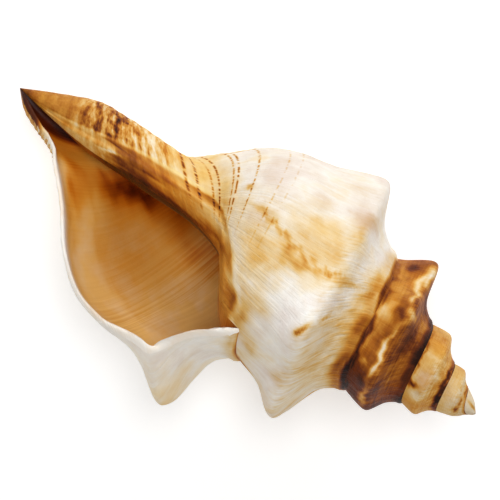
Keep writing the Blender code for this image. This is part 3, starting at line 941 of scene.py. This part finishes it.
def srgb(code):
    """A hex colour as linear light."""
    parts = [int(code[i : i + 2], 16) / 255 for i in (1, 3, 5)]
    return tuple(c / 12.92 if c <= 0.04045 else ((c + 0.055) / 1.055) ** 2.4 for c in parts) + (1.0,)


def on_growth(patch):
    """Mapping scales that make a patch of noise this many millimetres large on the growth map."""
    along_turn, along_rim = patch
    return (TURN_MM / along_turn, STATION_MM / along_rim, 1)


def on_object(size_mm):
    return 1 / (size_mm * MM)


# %% A node with its settings and links
def add(tree, kind, inputs, out=0, stops=(), **settings):
    """Adds a node and gives its output. An input is a value, or another node's output to link."""
    node = tree.nodes.new("ShaderNode" + kind)
    for name, value in settings.items():
        setattr(node, name, value)
    for key, value in inputs.items():
        if isinstance(value, bpy.types.NodeSocket):
            tree.links.new(value, node.inputs[key])
        else:
            node.inputs[key].default_value = value
    if stops:
        ramp = node.color_ramp
        ramp.elements.remove(ramp.elements[1])
        ramp.elements[0].position, ramp.elements[0].color = stops[0]
        for at, colour in stops[1:]:
            ramp.elements.new(at).color = colour
    return node.outputs[out]


# %% [markdown]
# ## Dashes round the neck
# Cords round the neck carry thin brown dashes, where the mantle stained the lime now and then. The row
# is a narrow peak of a ramp over the stations, and noise along the growth cuts it into dashes. They
# come in just past the edge of the glaze, and run on round the neck to the lip.

# %% The dashed lines
DASHES = (  # station and how dark
    (6.95, 0.3),
    (7.4, 0.4),
    (8.35, 0.8),
    (8.95, 1),
    (9.12, 0.8),
    (9.7, 1),
    (9.95, 0.7),
    (10.35, 1),
    (10.62, 0.8),
)
DASH_WIDTH, DASH_FROM, DASH_SPAN = 0.055, 6.8, 4.0
DASH_TURNS = (-0.70, -0.61)  # where they come in, and where they are full
DASH_PATCH, DASH_GAPS = (2.1, 2.75), (0.42, 0.54)
DASH_STAIN = 0.6
print(len(DASHES), "dashed lines round the neck")


def dash_stops():
    """Black with a thin white peak at each station that carries a dashed line."""
    stops = [(0.0, (0, 0, 0, 1))]
    for station, dark in DASHES:
        for off, level in ((-DASH_WIDTH, 0), (0, dark), (DASH_WIDTH, 0)):
            stops.append(((station + off - DASH_FROM) / DASH_SPAN, (level,) * 3 + (1,)))
    return stops


def add_dashes(tree, growth, station, stain):
    """Thin brown dashes in rows round the neck."""
    ends = {"From Min": DASH_FROM, "From Max": DASH_FROM + DASH_SPAN}
    across = add(tree, "MapRange", {"Value": station} | ends)
    rows = add(tree, "ValToRGB", {"Fac": across}, stops=dash_stops())
    spread = add(tree, "Mapping", {"Vector": growth, "Scale": on_growth(DASH_PATCH)})
    noise = {"Vector": spread, "Scale": 1.0, "Detail": 2.0}
    broken = add(tree, "TexNoise", noise, noise_dimensions="2D")
    gap, dash = DASH_GAPS
    broken = add(tree, "MapRange", {"Value": broken, "From Min": gap, "From Max": dash})
    turn = add(tree, "SeparateXYZ", {0: growth}, out="X")
    first, full = DASH_TURNS
    after = add(tree, "MapRange", {"Value": turn, "From Min": first, "From Max": full})
    amount = add(tree, "Math", {0: rows, 1: broken}, operation="MULTIPLY")
    amount = add(tree, "Math", {0: amount, 1: after}, operation="MULTIPLY")
    return add(tree, "Math", {0: amount, 1: DASH_STAIN, 2: stain}, operation="MULTIPLY_ADD")


# %% Colour of shell lime
BLOT_SWING, CLOUD_SWING = 0.14, 0.8  # how far blots shift the stain, and clouds the warmth
NOISE_LOW, NOISE_HIGH = 0.3, 0.7  # nearly all noise lies between these
LINE_ROUGHNESS = 0.6


def noise_lines(tree, growth, patch, detail):
    """Noise along the growth map in patches of this size."""
    stretched = add(tree, "Mapping", {"Vector": growth, "Scale": on_growth(patch)})
    noise = {"Vector": stretched, "Scale": 1.0, "Detail": detail, "Roughness": LINE_ROUGHNESS}
    return add(tree, "TexNoise", noise, noise_dimensions="2D")


def swung(tree, noise, reach):
    """Noise as a swing to either side of nothing."""
    ends = {"From Min": NOISE_LOW, "From Max": NOISE_HIGH, "To Min": -reach, "To Max": reach}
    return add(tree, "MapRange", {"Value": noise} | ends)


def tinted(tree, colour, share, tint):
    """The colour multiplied by a tint, as far as the share says."""
    parts = {0: share, 6: colour, 7: srgb(tint)}
    return add(tree, "Mix", parts, out=2, data_type="RGBA", blend_type="MULTIPLY")


def lime_colour(tree, value, along, place_on, dashes, tint):
    """Stain, streaks, blots and dashes on the ramp, then warm and cold clouds over it."""
    stain = swung(tree, along, 1.0)
    parts = {0: stain, 1: value["streaks"], 2: value["stain"]}
    stain = add(tree, "Math", parts, operation="MULTIPLY_ADD")
    soft = {"Vector": place_on, "Scale": on_object(BLOT_MM), "Detail": 4.0, "Distortion": 0.4}
    blots = swung(tree, add(tree, "TexNoise", soft), BLOT_SWING)
    stain = add(tree, "Math", {0: blots, 1: value["blots"], 2: stain}, operation="MULTIPLY_ADD")
    if dashes:
        stain = add_dashes(tree, *dashes, stain)
    stops = [(at, srgb(code)) for at, code in STAIN_RAMP]
    colour = add(tree, "ValToRGB", {"Fac": stain}, stops=stops)
    soft = {"Vector": place_on, "Scale": on_object(CLOUD_MM), "Detail": 3.0}
    clouds = swung(tree, add(tree, "TexNoise", soft), CLOUD_SWING)
    parts = {0: clouds, 1: value["blots"], 2: value["warmth"]}
    warmth = add(tree, "Math", parts, operation="MULTIPLY_ADD")
    colour = tinted(tree, colour, add(tree, "Clamp", {"Value": warmth}), tint)
    cold = add(tree, "Math", {0: warmth, 1: -1.0}, operation="MULTIPLY", use_clamp=True)
    return tinted(tree, colour, cold, COLD_TINT)


# %% Surface of shell lime
GRAIN_ROUGH, GRAIN_HIGH = 0.12, 0.35
RELIEF_DEEP = 0.0005  # metres that the bump stands for
LIME_IOR = 1.5  # lime between thin layers of horn
GLOSS, COAT_ROUGH = 0.15, 0.22  # dust and wear take most of the mirror light away


def shell_material(material, fine, coarse, spiral, roughness, coat, bump, tint):
    """Shell lime: growth lines in its colour and relief, and worn or polished grain."""
    material.use_nodes = True
    tree = material.node_tree
    shader = tree.nodes["Principled BSDF"]
    growth = add(tree, "UVMap", {}, uv_map="growth")
    place_on = add(tree, "TexCoord", {}, out="Object")
    station = add(tree, "SeparateXYZ", {0: growth}, out="Y")
    value = {name: add(tree, "Attribute", {}, out="Fac", attribute_name=name) for name in FINISH}

    lines = noise_lines(tree, growth, fine, 4.0)
    bands = noise_lines(tree, growth, coarse, 2.0)
    across = noise_lines(tree, growth, spiral, 4.0)
    along = add(tree, "Math", {0: lines, 1: bands}, operation="ADD")
    along = add(tree, "Math", {0: along, 1: 0.5}, operation="MULTIPLY")
    along = add(tree, "Mix", {0: value["runs"], 2: along, 3: across})
    dashes = (growth, station) if material == lime else None
    colour = lime_colour(tree, value, along, place_on, dashes, tint)
    tree.links.new(colour, shader.inputs["Base Color"])

    soft = {"Vector": place_on, "Scale": on_object(GRAIN_MM), "Detail": 2.0}
    grain = add(tree, "TexNoise", soft)
    worn, polished = roughness
    rough = add(tree, "Mix", {0: value["glaze"], 2: worn, 3: polished})
    rough = add(tree, "Math", {0: grain, 1: GRAIN_ROUGH, 2: rough}, operation="MULTIPLY_ADD")
    tree.links.new(rough, shader.inputs["Roughness"])
    height = add(tree, "Math", {0: grain, 1: GRAIN_HIGH, 2: along}, operation="MULTIPLY_ADD")
    normal = add(tree, "Bump", {"Height": height, "Strength": bump, "Distance": RELIEF_DEEP})
    tree.links.new(normal, shader.inputs["Normal"])
    shader.inputs["IOR"].default_value = LIME_IOR
    shader.inputs["Specular IOR Level"].default_value = GLOSS
    shader.inputs["Coat Weight"].default_value = coat
    shader.inputs["Coat Roughness"].default_value = COAT_ROUGH


# %% The two finishes
# Weathered lime was laid down in thin layers and then worn by sand. The eye gets a broad, soft light on
# chalky cream, and fine lines along every old rim.
shell_material(
    lime,
    fine=(0.8, 13.2),
    coarse=(4.0, 5.5),
    spiral=(27.0, 1.2),
    roughness=(0.52, 0.34),
    coat=0.0,
    bump=0.9,
    tint="#FFE7A6",
)
# Mouth porcelain was polished by the animal as it slid over it. The eye gets deep amber with a soft
# gleam, and only faint, wide bands. Its lines are real ones drawn coarser, so that they show.
shell_material(
    porcelain,
    fine=(4.0, 3.3),
    coarse=(27.0, 6.0),
    spiral=(48.0, 0.66),
    roughness=(0.34, 0.34),
    coat=0.04,
    bump=0.2,
    tint="#FFCE7C",
)
print(len(lime.node_tree.nodes), "and", len(porcelain.node_tree.nodes), "nodes")

# %% [markdown]
# ## White paper
# The shell was photographed on white, with only a soft grey shadow under it. A plain white plane would
# come out pale grey under soft light, so the paper glows a little, as an over-exposed sheet does, and
# keeps a faint shadow.

# %% Floor
FLOOR_SIZE, FLOOR_GLOW, FLOOR_ROUGH = 4.0, 0.24, 0.9
scene = bpy.context.scene
scene.view_settings.view_transform = "Standard"

deselect()
bpy.ops.mesh.primitive_plane_add(size=FLOOR_SIZE, location=(0, 0, 0))
floor = bpy.context.object
floor.name = "floor"
paper = bpy.data.materials.new("white paper")
paper.use_nodes = True
white = paper.node_tree.nodes["Principled BSDF"].inputs
white["Base Color"].default_value = srgb("#FFFFFF")
white["Roughness"].default_value = FLOOR_ROUGH
white["Emission Color"].default_value = srgb("#FFFFFF")
white["Emission Strength"].default_value = FLOOR_GLOW
floor.data.materials.append(paper)

# %% [markdown]
# ## Camera
# The photograph looks almost straight down on the mouth, with the shell's axis running from the top left
# to the bottom right. The camera's three directions are therefore given along the axis, across it and
# towards the viewer, and turned with the shell when it was laid down to rest.

# %% Camera
PHOTO_TILT = math.radians(4.5)
AXIS_RIGHT, AXIS_UP = 0.7986, -0.6018  # how the axis runs in the photograph
EYE = 0.7  # metres from the camera to the shell
AIM_ACROSS, AIM_ALONG, AIM_DEPTH = -1.2, -73.1, -70.0
PHOTO_WIDTH = 0.125
SENSOR = 36


def from_photo(along, across, towards):
    """A direction given along the tilted axis, across it and towards the camera."""
    c, s = math.cos(PHOTO_TILT), math.sin(PHOTO_TILT)
    return laid @ Vector((along * c + towards * s, across, towards * c - along * s))


right = from_photo(AXIS_RIGHT, -AXIS_UP, 0)
up = from_photo(AXIS_UP, AXIS_RIGHT, 0)
back = from_photo(0, 0, 1)
depth = AIM_DEPTH * math.sin(PHOTO_TILT)
aim = (from_photo(AIM_ALONG, AIM_ACROSS, depth) + Vector(LIES_AT)) * MM
camera_data = bpy.data.cameras.new("camera")
camera = bpy.data.objects.new("camera", camera_data)
scene.collection.objects.link(camera)
camera_data.sensor_width = SENSOR
camera_data.lens = SENSOR * EYE / PHOTO_WIDTH
turned = Matrix((right, up, back)).transposed().to_4x4()
camera.matrix_world = Matrix.Translation(aim + back * EYE) @ turned
scene.camera = camera
print("camera looks down at", round(math.degrees(math.asin(back.z)), 1), "degrees")

# %% [markdown]
# ## Light
# The photograph is lit from above and a little in front, with hardly a hard shadow. One large softbox
# above the shell gives the knobs their shape, a smaller one beside the camera reaches into the mouth,
# and a white room fills in the rest.

# %% World and softboxes
ROOM_LIGHT = 0.46
world = bpy.data.worlds.new("studio")
scene.world = world
world.use_nodes = True
room = world.node_tree.nodes["Background"].inputs
room["Color"].default_value = srgb("#FFFFFF")
room["Strength"].default_value = ROOM_LIGHT


def softbox(name, size, watts, place):
    """A round lamp at a place given by the photograph's right, up and back, turned to the shell."""
    data = bpy.data.lights.new(name, "AREA")
    data.shape = "DISK"
    data.size = size
    data.energy = watts
    lamp = bpy.data.objects.new(name, data)
    scene.collection.objects.link(lamp)
    off = right * place[0] + up * place[1] + back * place[2]
    turned = off.normalized().to_track_quat("Z", "Y").to_matrix().to_4x4()
    lamp.matrix_world = Matrix.Translation(aim + off) @ turned
    print(name, "lamp", round(off.length, 2), "m from the shell")


softbox("key", size=0.7, watts=4.2, place=(0.25, 0.9, 0.75))
softbox("front", size=0.4, watts=3.8, place=(0.05, 0.10, 1.0))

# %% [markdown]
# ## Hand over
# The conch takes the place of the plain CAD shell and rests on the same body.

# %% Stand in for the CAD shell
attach(conch, "root")
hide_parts("shell")
